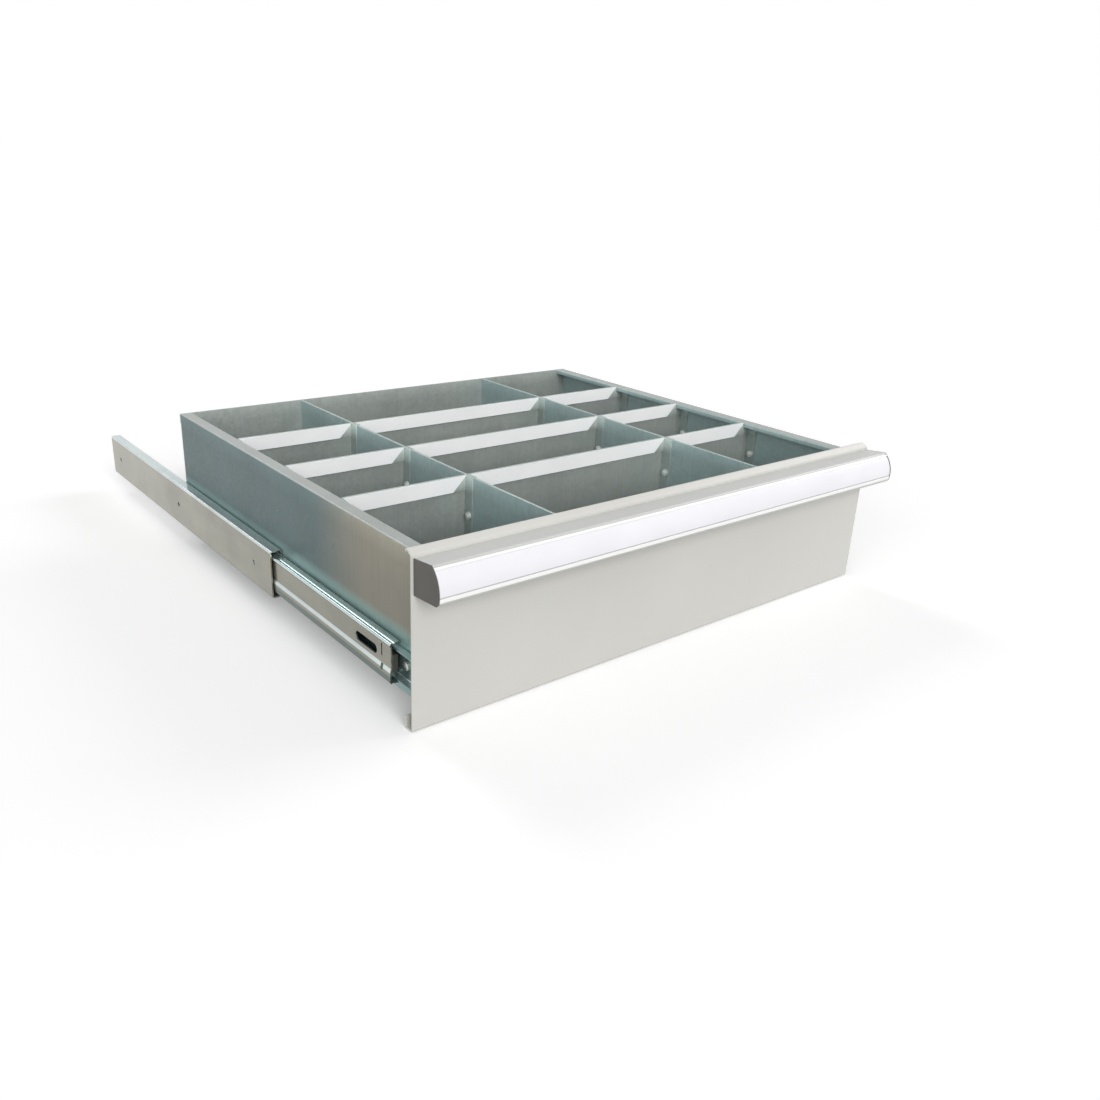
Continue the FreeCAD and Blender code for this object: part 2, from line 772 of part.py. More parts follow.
def cross_divider(label, left, right, row, left_under_rim):
    """A cross plate with two end tabs turned towards the user and a folded top edge."""
    body = new_body(label)
    front = f"({row_front(row)} + plate_front)"
    back = f"({row_front(row)} + plate_back)"
    tab_front = f"({row_front(row)} - cross_tab_depth)"
    corners = [
        (left, tab_front),
        (left, back),
        (right, back),
        (right, tab_front),
        (f"{right} - cross_sheet", tab_front),
        (f"{right} - cross_sheet", front),
        (f"{left} + cross_sheet", front),
        (f"{left} + cross_sheet", tab_front),
    ]
    add_prism(body, "XY", "floor_top + fit_gap", "rim_height", corners)
    hem_front = f"{row_front(row)} + strip_thickness + fit_gap"
    hem = rectangle(f"{left} + cross_sheet + fit_gap", f"{right} - cross_sheet - fit_gap",
                    "rim_height - cross_hem", "rim_height")
    add_prism(body, "XZ", hem_front, front, hem)
    cut_holes(body, "YZ", f"{left} - 1", f"{right} + 1", divider_screw_places()[row:row + 1], "screw_hole")
    if left_under_rim:
        notch = rectangle(f"{left} - 1", "-rim_inner + fit_gap", "under_rim", "rim_height + 1")
        cut_prism(body, "XZ", f"{tab_front} - 1", f"{back} + 1", notch)
    return body


def cross_label(label, left, right, row):
    """The white strip on a cross plate's top edge, with both ends cut at 45 degrees."""
    body = new_body(label)
    top = "rim_height - strip_top_margin"
    bottom = "rim_height - cross_hem"
    corners = [
        (f"{left} + strip_height", bottom),
        (left, top),
        (right, top),
        (f"{right} - strip_height", bottom),
    ]
    front = row_front(row)
    add_prism(body, "XZ", front, f"{front} + strip_thickness", corners)
    return body


def dividers():
    """Two long dividers, and a cross plate with its strip in each column of each row."""
    both_sides(long_divider(), "long_divider")
    outer_left, outer_right = "-inside_half + fit_gap", "-far_face - fit_gap"
    middle_left, middle_right = "-cell_face + fit_gap", "cell_face - fit_gap"
    for row in ROWS:
        number = row + 1
        outer = cross_divider(f"left_cross_divider_{number}", outer_left, outer_right, row, True)
        both_sides(outer, f"cross_divider_{number}")
        keep(cross_divider(f"middle_cross_divider_{number}", middle_left, middle_right, row, False))
        strip_left = "-rim_inner + fit_gap * 4"
        strip = cross_label(f"left_cross_label_{number}", strip_left, f"{outer_right} - cross_sheet", row)
        both_sides(strip, f"cross_label_{number}")
        strip = cross_label(f"middle_cross_label_{number}", f"{middle_left} + cross_sheet",
                            f"{middle_right} - cross_sheet", row)
        keep(strip)


# ---- slides ----------------------------------------------------------------------------
# Left-hand slide. u runs outwards from the drawer's side and v up from the centre line.

def outwards(reach):
    """The X of a point at a distance u outside the drawer's left side."""
    return f"-(body_half + ({reach}))"


def inner_screw_places():
    """Where the inner member is screwed to the side, along and up from the panel's edges."""
    return [(f"inner_first_screw + {step} * inner_screw_spacing", "slide_height") for step in (0, 1, 2)]


def cabinet_rail():
    """The fixed rail: a channel with lips along its free edges and three screw holes."""
    body = new_body("left_cabinet_rail", ("0", "0", "0"))
    half = "rail_section / 2"
    lip = "rail_inside - rail_lip"
    edge = "rail_edge + slide_sheet"
    corners = [
        (outwards("slide_thickness"), f"-{half}"),
        (outwards("slide_thickness"), half),
        (outwards("rail_edge"), half),
        (outwards("rail_edge"), lip),
        (outwards(edge), lip),
        (outwards(edge), "rail_inside"),
        (outwards("rail_web"), "rail_inside"),
        (outwards("rail_web"), "-rail_inside"),
        (outwards(edge), "-rail_inside"),
        (outwards(edge), f"-({lip})"),
        (outwards("rail_edge"), f"-({lip})"),
        (outwards("rail_edge"), f"-{half}"),
    ]
    add_prism(body, "XZ", "0", "rail_length", corners)
    round_edges(body, "XZ", [corners[number] for number in (0, 1, 2, 11)], "bend_radius")
    round_edges(body, "XZ", [corners[number] for number in (6, 7)], "bend_radius - slide_sheet")
    holes = [(f"rail_first_hole + {step} * rail_hole_spacing", "0") for step in (0, 1, 2)]
    cut_holes(body, "YZ", outwards("slide_thickness + 1"), outwards("rail_web - 1"), holes,
              "rail_hole_radius")
    return body


def rail_bumper():
    """The block at the rail's rear end that the middle member closes against."""
    body = new_body("left_rail_bumper", ("0", "0", "0"))
    outline = rectangle(outwards("rail_web - seat_gap"), outwards("middle_edge"),
                        "-rail_bumper_half_height", "rail_bumper_half_height")
    end = "rail_length - seat_gap * 4"
    add_prism(body, "XZ", f"{end} - rail_bumper_length", end, outline)
    return body


def middle_member():
    """The channel inside the rail: grooves for the balls, a set-back web and a lower bulge."""
    body = new_body("left_middle_member", ("0", "middle_y", "0"))
    half = "middle_section / 2"
    outer = "middle_web"
    inner = "middle_web - slide_sheet"
    web_inner = "recessed_web - slide_sheet"
    lip = "middle_edge + slide_sheet * 0.7"
    corners = [
        (outwards(outer), f"-{half}"),
        (outwards(outer), "-bulge_top"),
        (outwards("recessed_web"), "-web_bottom"),
        (outwards("recessed_web"), "web_top"),
        (outwards(outer), "web_high_edge"),
        (outwards(outer), half),
        (outwards(lip), half),
        (outwards(lip), f"{half} + middle_lip"),
        (outwards("middle_edge"), f"{half} + middle_lip"),
        (outwards("middle_edge"), "middle_inside"),
        (outwards(inner), "middle_inside"),
        (outwards(inner), "web_high_edge"),
        (outwards(web_inner), "web_top"),
        (outwards(web_inner), "-web_bottom"),
        (outwards(inner), "-bulge_top"),
        (outwards(inner), "-middle_inside"),
        (outwards("middle_edge"), "-middle_inside"),
        (outwards("middle_edge"), f"-({half} + middle_lip)"),
        (outwards(lip), f"-({half} + middle_lip)"),
        (outwards(lip), f"-{half}"),
    ]
    add_prism(body, "XZ", "0", "middle_length", corners)
    round_edges(body, "XZ", [corners[number] for number in (0, 5)], "bend_radius")
    round_edges(body, "XZ", [corners[number] for number in (10, 15)], "bend_radius - slide_sheet")
    round_edges(body, "XZ", [corners[number] for number in (1, 2, 13, 14)], "bulge_radius")
    for centre, radius in (("outer", "outer_ball"), ("inner", "inner_ball")):
        across = outwards(f"{centre}_ball_u")
        levels = [(across, f"{centre}_ball_v"), (across, f"-{centre}_ball_v")]
        cut_holes(body, "XZ", "-1", "middle_length + 1", levels, f"{radius} + ball_play")
    middle_openings(body, outwards(f"{outer} + 1"), outwards(f"{web_inner} - 1"))
    return body


def middle_openings(body, low, high):
    """The slot near the middle member's front end, the stop slit and the gap in the bulge."""
    round_end = "middle_slot_height / 2"
    near = f"middle_slot_start + {round_end}"
    far = f"middle_slot_start + middle_slot_length - {round_end}"
    top = f"middle_slot_raise + {round_end}"
    bottom = f"middle_slot_raise - {round_end}"
    quarter_near = ("middle_slot_start", "middle_slot_raise", (near, "middle_slot_raise"), round_end)
    quarter_far = ("middle_slot_start + middle_slot_length", "middle_slot_raise",
                   (far, "middle_slot_raise"), round_end)
    corners = [
        (near, bottom, (near, "middle_slot_raise"), round_end),
        quarter_near,
        (near, top),
        (far, top, (far, "middle_slot_raise"), round_end),
        quarter_far,
        (far, bottom),
    ]
    cut_prism(body, "YZ", low, high, corners)
    slit = rectangle("stop_slit_start", "stop_slit_start + stop_slit_width",
                     "stop_slit_bottom", "stop_slit_top")
    cut_prism(body, "YZ", low, high, slit)
    gap = rectangle("bulge_gap_start", "bulge_gap_start + bulge_gap_width",
                    "-bulge_gap_low", "-web_bottom")
    cut_prism(body, "YZ", low, high, gap)


def middle_bumper():
    """The plastic block inside the middle member's front end."""
    body = new_body("left_middle_bumper", ("0", "middle_y", "0"))
    outline = rectangle(outwards("recessed_web - slide_sheet - seat_gap"), outwards("bumper_inner"),
                        "-bumper_half_height", "bumper_half_height")
    add_prism(body, "XZ", "seat_gap * 10", "seat_gap * 10 + bumper_length", outline)
    places = [(outwards("bumper_inner"), "-bumper_half_height"), (outwards("bumper_inner"), "bumper_half_height")]
    round_edges(body, "XZ", places, "bend_radius / 2")
    return body


def inner_member():
    """The channel screwed to the drawer's side, its flanges turned outwards."""
    body = new_body("left_inner_member")
    half = "inner_section / 2"
    high, low = f"slide_height + {half}", f"slide_height - {half}"
    web = "slide_sheet + seat_gap"
    corners = [
        (outwards("seat_gap"), low),
        (outwards("seat_gap"), high),
        (outwards("inner_depth"), high),
        (outwards("inner_depth"), f"{high} - slide_sheet"),
        (outwards(web), f"{high} - slide_sheet"),
        (outwards(web), f"{low} + slide_sheet"),
        (outwards("inner_depth"), f"{low} + slide_sheet"),
        (outwards("inner_depth"), low),
    ]
    end = "inner_start + inner_length"
    add_prism(body, "XZ", "inner_start", end, corners)
    round_edges(body, "XZ", [corners[number] for number in (0, 1)], "bend_radius")
    round_edges(body, "XZ", [corners[number] for number in (4, 5)], "bend_radius - slide_sheet")
    cut_holes(body, "YZ", outwards(f"{web} + 1"), outwards("-1"), inner_screw_places(), "screw_hole")
    return body


def lever_rivet():
    """The rivet on the inner member that the release lever turns on."""
    body = new_body("left_lever_rivet")
    centre = [("lever_pivot", "slide_height")]
    foot = "slide_sheet + seat_gap"
    shoulder = "lever_outer + fit_gap"
    add_rods(body, "YZ", outwards(shoulder), outwards(foot), centre, "pivot_radius")
    add_rods(body, "YZ", outwards(f"{shoulder} + pivot_head"), outwards(shoulder), centre, "pivot_head_radius")
    return body


def release_lever():
    """The plastic lever that frees the drawer: a round boss, an arm and a thumb tip."""
    body = new_body("left_release_lever")
    boss = "lever_boss_radius"
    tip = "lever_pivot - lever_reach"
    middle = "slide_height"
    corners = [
        ("lever_pivot", f"{middle} - {boss}"),
        (f"{tip} + {boss} * 2", f"{middle} - lever_half_width"),
        (f"{tip} + {boss}", f"{middle} - {boss}"),
        (tip, f"{middle} - {boss}"),
        (tip, f"{middle} + lever_half_width"),
        (f"{tip} + {boss} * 2", f"{middle} + lever_half_width"),
        ("lever_pivot", f"{middle} + {boss}", ("lever_pivot", middle), boss),
        (f"lever_pivot + {boss}", middle, ("lever_pivot", middle), boss),
    ]
    add_prism(body, "YZ", outwards("lever_outer"), outwards("lever_inner"), corners)
    cut_holes(body, "YZ", outwards("lever_outer + 1"), outwards("lever_inner - 1"),
              [("lever_pivot", middle)], "pivot_radius + pivot_play")
    return body


def ball_rows(length):
    """Distances of the balls from a cage's front end, evenly pitched along its length."""
    count = int((value(length) - 2 * value("ball_end")) / value("ball_pitch")) + 1
    return [f"ball_end + {step} * ball_pitch" for step in range(count)]


def ball_cage(label, base, length, web, web_sheet, edge, ball):
    """A channel of thin sheet with a pocket for each ball."""
    body = new_body(label, ("0", base, "0"))
    top = f"{ball}_ball_v + cage_sheet / 2"
    under = f"{ball}_ball_v - cage_sheet / 2"
    outer = f"{web} + {web_sheet}"
    corners = [
        (outwards(outer), f"-({top})"),
        (outwards(outer), top),
        (outwards(edge), top),
        (outwards(edge), under),
        (outwards(web), under),
        (outwards(web), f"-({under})"),
        (outwards(edge), f"-({under})"),
        (outwards(edge), f"-({top})"),
    ]
    add_prism(body, "XZ", "0", length, corners)
    across = outwards(f"{ball}_ball_u")
    pockets = [(across, along) for along in ball_rows(length)]
    cut_holes(body, "XY", f"-({top}) - 1", f"{top} + 1", pockets, f"{ball}_ball + pocket_play")
    return body


def balls(label, base, length, ball):
    """The balls of one cage, in an upper and a lower row."""
    spheres = []
    for along in ball_rows(length):
        for sign in ("", "-"):
            sphere = doc.addObject("Part::Sphere", f"{label}_ball")
            sphere.setExpression("Radius", bound(f"{ball}_ball"))
            sphere.setExpression("Placement.Base.x", bound(outwards(f"{ball}_ball_u")))
            sphere.setExpression("Placement.Base.y", bound(f"{base} + {along}"))
            sphere.setExpression("Placement.Base.z", bound(f"{sign}{ball}_ball_v"))
            spheres.append(sphere)
    compound = doc.addObject("Part::Compound", label)
    compound.Links = spheres
    return compound


def slides():
    """Both slides: rail, middle and inner members, cages, balls, bumpers and levers."""
    both_sides(cabinet_rail(), "cabinet_rail")
    both_sides(rail_bumper(), "rail_bumper")
    both_sides(middle_member(), "middle_member")
    both_sides(middle_bumper(), "middle_bumper")
    both_sides(inner_member(), "inner_member")
    outer = ball_cage("left_outer_cage", "outer_cage_y", "outer_cage_length", "middle_web + ball_play",
                      "outer_cage_strip", "outer_ball_u - outer_ball - 1", "outer")
    both_sides(outer, "outer_cage")
    inner = ball_cage("left_inner_cage", "inner_cage_y", "inner_cage_length", "inner_cage_web",
                      "cage_sheet", "inner_ball_u - inner_ball - 0.5", "inner")
    both_sides(inner, "inner_cage")
    both_sides(balls("left_outer_balls", "outer_cage_y", "outer_cage_length", "outer"), "outer_balls")
    both_sides(balls("left_inner_balls", "inner_cage_y", "inner_cage_length", "inner"), "inner_balls")
    both_sides(lever_rivet(), "lever_rivet")
    both_sides(release_lever(), "release_lever")


# ---- groups of fasteners ---------------------------------------------------------------

def fasteners():
    """Screws and nuts, each kind a group of separate solids."""
    pan_short = screw("short_pan_screw", "pan_head_radius", "pan_head_height", "short_screw")
    pan_long = screw("long_pan_screw", "pan_head_radius", "pan_head_height", "long_screw")
    low_head = screw("slide_screw", "low_head_radius", "low_head_height", "slide_sheet + wall_sheet")
    grip_screw = screw("grip_screw", "pan_head_radius", "pan_head_height", "cell_front + screw_boss_depth - 2")
    nut = hexagon_nut("hexagon_nut")
    tab_face = "cross_sheet + fit_gap"
    divider_copies = []
    nut_copies = []
    for along, height in divider_screw_places():
        left_end = (f"-inside_half + {tab_face}", along, height)
        right_end = (f"inside_half - ({tab_face})", along, height)
        left_joint = (f"-far_face - ({tab_face})", along, height)
        right_joint = (f"cell_face - ({tab_face})", along, height)
        divider_copies.append((pan_short, left_end, TO_RIGHT))
        divider_copies.append((pan_short, right_end, TO_LEFT))
        divider_copies.append((pan_long, left_joint, TO_LEFT))
        divider_copies.append((pan_long, right_joint, TO_LEFT))
        nut_copies.append((nut, (f"-cell_face + {tab_face}", along, height), TO_RIGHT))
        nut_copies.append((nut, (f"far_face + {tab_face}", along, height), TO_RIGHT))
    keep(group("divider_screws", divider_copies))
    keep(group("divider_nuts", nut_copies))
    web_face = "slide_sheet + seat_gap"
    slide_copies = [(low_head, (outwards(web_face), along, height), TO_LEFT)
                    for along, height in inner_screw_places()]
    both_sides(group("left_slide_screws", slide_copies), "slide_screws")
    nut_face = "tab_front + wall_sheet"
    stud = weld_stud()
    studs = [(stud, (across, "panel_sheet", height), TO_REAR) for across, height in stud_places()]
    keep(group("front_panel_studs", studs))
    stud_nuts = [(nut, (across, nut_face, height), TO_REAR) for across, height in stud_places()]
    keep(group("front_panel_nuts", stud_nuts))
    screw_copies = [(grip_screw, (across, "cell_front", height), TO_REAR)
                    for across, height in grip_screw_places()]
    keep(group("grip_screws", screw_copies))


# ---- checks and output -----------------------------------------------------------------

def check_document():
    """Stop if any object failed, any cut removed nothing, or any node has no sound shape."""
    for item in doc.Objects:
        if "Invalid" in item.State or "Error" in item.State:
            raise RuntimeError(f"{item.Label} is {item.State}")
    for feature, before in cuts:
        if feature.Shape.Volume >= before.Shape.Volume:
            raise RuntimeError(f"{feature.Label} cut nothing")
    for node in nodes:
        if node.Shape.isNull() or not node.Shape.isValid():
            raise RuntimeError(f"{node.Label} has no valid shape")


def main():
    """Build every piece, check the document and write one file per node."""
    fill_sheet()
    keep(front_panel())
    keep(grip_profile())
    both_sides(grip_end_cap(), "grip_end_cap")
    keep(grip_label_holder())
    keep(grip_label())
    both_sides(box_side(), "side_wall")
    keep(box_front())
    keep(box_back())
    keep(box_base())
    dividers()
    slides()
    fasteners()
    doc.recompute()
    check_document()
    os.makedirs("parts", exist_ok=True)
    for node in nodes:
        node.Shape.exportStep(f"parts/{node.Label}.step")
        print(node.Label, len(node.Shape.Solids), round(node.Shape.Volume, 1))
    print(len(nodes), "nodes")


main()
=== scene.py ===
"""Looks of a steel drawer with dividers on ball-bearing slides: finishes, details, light, camera.

Lengths are in metres and the frame is the CAD's: +X right, +Y into the cabinet, +Z up.
"""
import bpy
import bmesh
import json
import math
from mathutils import Matrix, Vector


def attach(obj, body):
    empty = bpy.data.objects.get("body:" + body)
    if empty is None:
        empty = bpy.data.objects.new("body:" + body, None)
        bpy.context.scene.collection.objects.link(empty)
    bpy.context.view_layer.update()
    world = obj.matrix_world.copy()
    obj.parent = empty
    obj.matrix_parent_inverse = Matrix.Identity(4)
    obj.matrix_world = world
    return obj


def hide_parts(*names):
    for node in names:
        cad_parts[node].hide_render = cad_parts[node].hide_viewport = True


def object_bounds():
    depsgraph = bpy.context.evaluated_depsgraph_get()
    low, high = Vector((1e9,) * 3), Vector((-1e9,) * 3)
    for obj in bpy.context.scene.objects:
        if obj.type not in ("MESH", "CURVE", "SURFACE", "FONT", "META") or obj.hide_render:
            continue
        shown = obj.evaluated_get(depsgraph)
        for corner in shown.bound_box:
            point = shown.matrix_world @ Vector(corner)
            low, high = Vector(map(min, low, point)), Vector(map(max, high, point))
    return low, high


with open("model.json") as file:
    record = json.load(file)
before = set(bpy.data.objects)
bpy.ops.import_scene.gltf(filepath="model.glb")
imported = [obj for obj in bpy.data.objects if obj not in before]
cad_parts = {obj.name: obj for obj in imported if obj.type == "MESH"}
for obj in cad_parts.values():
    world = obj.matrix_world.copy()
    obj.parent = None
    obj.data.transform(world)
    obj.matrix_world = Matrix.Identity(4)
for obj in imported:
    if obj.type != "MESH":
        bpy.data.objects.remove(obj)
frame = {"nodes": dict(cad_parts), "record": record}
cad_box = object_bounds()

MM = 0.001
SLOTS = {part["node"]: part["material_slot"] for part in frame["record"]["subparts"]}
BODY_OF = {node: body for body, nodes in frame["record"]["behaviour"]["bodies"].items()
           for node in nodes}

# What the sky and the floor give as light. Both show as white to the rays of SEEN_BY.
SKY_LIGHT = 0.35
FLOOR_BOUNCE = 0.6
FLOOR_GLOW = 0.15
FLOOR_SIZE = 60.0
FLOOR_GAP = 0.5 * MM
SEEN_BY = ("Is Camera Ray", "Is Glossy Ray", "Is Transmission Ray")

# Each lamp's name, the direction towards it, its level and its spread in degrees.
LAMPS = (("front_light", (-0.25, -0.85, 0.45), 0.55, 30.0),
         ("left_light", (-0.9, -0.3, 0.35), 0.22, 30.0),
         ("right_light", (0.82, -0.15, 0.5), 0.2, 30.0),
         ("rear_light", (0.0, 0.75, 0.65), 0.15, 20.0))

# The photograph's camera: angles in degrees, its place and its focal length in pixels.
CAMERA_YAW = 39.95
CAMERA_PITCH = 21.79
CAMERA_ROLL = 2.69
CAMERA_PLACE = Vector((-0.6033, -0.7686, 0.3551))
FOCAL_PIXELS = 973.1
PICTURE_PIXELS = 1100.0
CENTRE_X = 541.7
CENTRE_Y = 551.8
SENSOR = 36.0
NEAR_CLIP = 0.01

# Where the tones of a node change, from and to: along Y, in height, from the middle plane, and
# from the centre line of the grip's curve. All but the reach of the threads' ends mark painted
# light: reflections on a long wall's outer face, shade low in the sheets, sheen over the hems, a
# dark reflection below the slide's bulge and shade in the label channel's grooves.
WALL_REFLECTION_DEPTHS = (-0.145, -0.065)
FOOT_REFLECTION_HEIGHTS = (0.02, 0.031)
LOW_SHADE_HEIGHTS = (0.01, 0.08)
HEM_SHEEN_HEIGHTS = (0.08, 0.094)
BULGE_REFLECTION_HEIGHTS = (-11.5 * MM, -10.0 * MM)
GROOVE_SHADE_HEIGHTS = (78.0 * MM, 90.0 * MM)
THREAD_END_REACH = (0.2608, 0.2612)
GRIP_CENTRE = (0.0, -239.4 * MM, 78.4 * MM)
BEAD_RADII = (25.95 * MM, 26.2 * MM)

# How far a surface has to turn to take a tone, from and to: towards an axis, either way, and up
# on Recipe.rise's scale. These tones are painted light: reflections on the sheets' flanks and
# upward faces and on the wall's outer face, shade on the slides' downward faces and highlights
# on their upper bends.
TURN_TO_AXIS = (0.4, 0.9)
SHADE_TURN_DOWN = (0.42, 0.48)
HIGHLIGHT_TURN_UP = (0.51, 0.58)
OUTER_FACE = (-0.05, 0.05)

# The part of a noise's range that its levels mostly keep to.
MIDDLE_OF_NOISE = (0.3, 0.7)

# Width of the softened edges of the nodes that show theirs.
BEVELS = {"front_panel": 0.25 * MM, "grip_profile": 0.2 * MM, "left_grip_end_cap": 0.3 * MM,
          "right_grip_end_cap": 0.3 * MM, "left_side_wall": 0.2 * MM, "right_side_wall": 0.2 * MM,
          "back_wall": 0.2 * MM, "left_long_divider": 0.2 * MM, "right_long_divider": 0.2 * MM}
BEVEL_ANGLE = math.radians(50.0)
SHARP_ANGLE = math.radians(35.0)

# Threads. A thread's form is where in a turn its crest lies, how far on its root lies, and the
# root's radius over the crest's. A tip's radius is over the crest's too.
THREAD_RADIUS = 1.75 * MM
THREAD_PITCH = 0.6 * MM
SCREW_THREAD = (0.25, 0.5, 0.84)
STUD_THREAD = (0.3, 0.4, 0.86)
SCREW_TIP = 0.7
STUD_TIP = 0.75

# Screw heads. The profile is (height over the head's, radius over the head's), and each outline
# of the cross recess is (half width, half length, height), over the head's radius and height.
HEAD_UNDERSIDE = 0.98
HEAD_PROFILE = ((0.2, 0.97), (0.45, 1.0), (0.7, 0.955), (0.88, 0.83), (1.0, 0.62))
RECESS_MOUTH = (0.13, 0.48, 1.0)
RECESS_BOTTOM = (0.07, 0.24, 0.35)
RECESS_TURN = Vector((0.3, 0.8, 0.5))
HEAD_OVER_THREAD = 1.3

# Nuts. A face's radius is over the nut's flats, and the bore's mouth and its depth over the hole.
NUT_HOLE = 1.8 * MM
NUT_FACE = 0.97
NUT_CHAMFER = math.tan(math.radians(30.0))
BORE_MOUTH = 1.12
BORE_CHAMFER = 0.12

# Corners in a ring, how near to a solid's end a corner counts as on it, and the grid on which
# corners at one place are joined.
RING_COUNT = 32
NUT_COUNT = 48
END_MARGIN = 0.02 * MM
PER_MICRON = 1e6


# ---- node helpers ------------------------------------------------------------------

def srgb(red, green, blue):
    """An 8-bit display colour as the linear values that a shader takes."""
    def linear(level):
        part = level / 255.0
        return part / 12.92 if part <= 0.04045 else ((part + 0.055) / 1.055) ** 2.4
    return (linear(red), linear(green), linear(blue), 1.0)


def seen_level(tree):
    """One for the rays to which the white background shows, and zero for the rest."""
    path = tree.nodes.new("ShaderNodeLightPath")
    found, *others = [path.outputs[name] for name in SEEN_BY]
    for output in others:
        node = tree.nodes.new("ShaderNodeMath")
        node.operation = "MAXIMUM"
        tree.links.new(found, node.inputs[0])
        tree.links.new(output, node.inputs[1])
        found = node.outputs["Value"]
    return found


class Recipe:
    """A material under construction: short calls that add and join shader nodes."""

    def __init__(self, name, roughness, metallic=0.0):
        self.material = bpy.data.materials.new(name)
        self.material.use_nodes = True
        self.tree = self.material.node_tree
        self.shader = self.tree.nodes["Principled BSDF"]
        self.shader.inputs["Roughness"].default_value = roughness
        self.shader.inputs["Metallic"].default_value = metallic
        coordinates = self.tree.nodes.new("ShaderNodeTexCoord")
        self.place = coordinates.outputs["Object"]
        self.normal = coordinates.outputs["Normal"]

    def add(self, kind, **settings):
        """A new node. The settings are its own properties."""
        node = self.tree.nodes.new(kind)
        for setting, value in settings.items():
            setattr(node, setting, value)
        return node

    def join(self, start, end):
        self.tree.links.new(start, end)

    def stretched(self, scale):
        """The object's coordinates, scaled along each axis."""
        node = self.add("ShaderNodeMapping")
        node.inputs["Scale"].default_value = scale
        self.join(self.place, node.inputs["Vector"])
        return node.outputs["Vector"]

    def noise(self, scale, detail=3.0, roughness=0.5, vector=None):
        node = self.add("ShaderNodeTexNoise")
        node.inputs["Scale"].default_value = scale
        node.inputs["Detail"].default_value = detail
        node.inputs["Roughness"].default_value = roughness
        self.join(vector or self.place, node.inputs["Vector"])
        return node.outputs["Fac"]

    def crystals(self, scale):
        """A level of its own for each cell of a cell pattern."""
        cells = self.add("ShaderNodeTexVoronoi")
        cells.inputs["Scale"].default_value = scale
        self.join(self.place, cells.inputs["Vector"])
        parts = self.add("ShaderNodeSeparateColor")
        self.join(cells.outputs["Color"], parts.inputs["Color"])
        return parts.outputs["Red"]

    def ramp(self, level, stops):
        """Colours over a level. Each stop is (position, colour)."""
        node = self.add("ShaderNodeValToRGB")
        ramp = node.color_ramp
        while len(ramp.elements) < len(stops):
            ramp.elements.new(0.5)
        for element, (position, colour) in zip(ramp.elements, stops):
            element.position = position
            element.color = colour
        self.join(level, node.inputs["Fac"])
        return node.outputs["Color"]

    def shaded(self, level, deep, pale):
        """A colour that drifts from deep to pale over the middle of a noise."""
        low, high = MIDDLE_OF_NOISE
        return self.ramp(level, [(low, deep), (high, pale)])

    def span(self, level, low, high, start=0.0, end=1.0):
        """The level mapped from start..end to low..high."""
        node = self.add("ShaderNodeMapRange")
        node.inputs["From Min"].default_value = start
        node.inputs["From Max"].default_value = end
        node.inputs["To Min"].default_value = low
        node.inputs["To Max"].default_value = high
        self.join(level, node.inputs["Value"])
        return node.outputs["Result"]

    def blend(self, first, second, level):
        """Two colours mixed by a level, which may be a number."""
        node = self.add("ShaderNodeMix", data_type="RGBA")
        if isinstance(level, float):
            node.inputs["Factor"].default_value = level
        else:
            self.join(level, node.inputs["Factor"])
        for source, socket in ((first, node.inputs[6]), (second, node.inputs[7])):
            if isinstance(source, tuple):
                socket.default_value = source
            else:
                self.join(source, socket)
        return node.outputs[2]

    def scaled(self, colour, level):
        """A colour made lighter or darker by a level around one."""
        node = self.add("ShaderNodeVectorMath", operation="SCALE")
        self.join(colour, node.inputs[0])
        self.join(level, node.inputs["Scale"])
        return node.outputs["Vector"]

    def part(self, vector, axis):
        """A vector's measure along an axis."""
        parts = self.add("ShaderNodeSeparateXYZ")
        self.join(vector, parts.inputs["Vector"])
        return parts.outputs[axis]

    def along(self, axis):
        """The place along an axis of the object."""
        return self.part(self.place, axis)

    def size(self, level):
        """A level without its sign."""
        node = self.add("ShaderNodeMath", operation="ABSOLUTE")
        self.join(level, node.inputs[0])
        return node.outputs["Value"]

    def facing(self, axis):
        """How nearly the surface faces along an axis of the object, either way: 0 to 1."""
        return self.span(self.size(self.part(self.normal, axis)), 0.0, 1.0, *TURN_TO_AXIS)

    def rise(self):
        """How far the surface faces up: 0 facing down, 0.5 upright, 1 facing up."""
        return self.span(self.part(self.normal, "Z"), 0.0, 1.0, -1.0, 1.0)

    def outward(self):
        """Above zero where the surface faces away from the object's middle plane."""
        product = self.add("ShaderNodeMath", operation="MULTIPLY")
        self.join(self.part(self.normal, "X"), product.inputs[0])
        self.join(self.along("X"), product.inputs[1])
        return product.outputs["Value"]

    def from_line(self, point):
        """The distance from a line along X through a point of the object."""
        gap = self.add("ShaderNodeVectorMath", operation="SUBTRACT")
        self.join(self.place, gap.inputs[0])
        gap.inputs[1].default_value = point
        flat = self.add("ShaderNodeVectorMath", operation="MULTIPLY")
        self.join(gap.outputs["Vector"], flat.inputs[0])
        flat.inputs[1].default_value = (0.0, 1.0, 1.0)
        distance = self.add("ShaderNodeVectorMath", operation="LENGTH")
        self.join(flat.outputs["Vector"], distance.inputs[0])
        return distance.outputs["Value"]

    def colour(self, source):
        self.join(source, self.shader.inputs["Base Color"])

    def roughness(self, source):
        self.join(source, self.shader.inputs["Roughness"])

    def bump(self, level, strength, distance):
        node = self.add("ShaderNodeBump")
        node.inputs["Strength"].default_value = strength
        node.inputs["Distance"].default_value = distance
        self.join(level, node.inputs["Height"])
        self.join(node.outputs["Normal"], self.shader.inputs["Normal"])


# ---- materials ---------------------------------------------------------------------

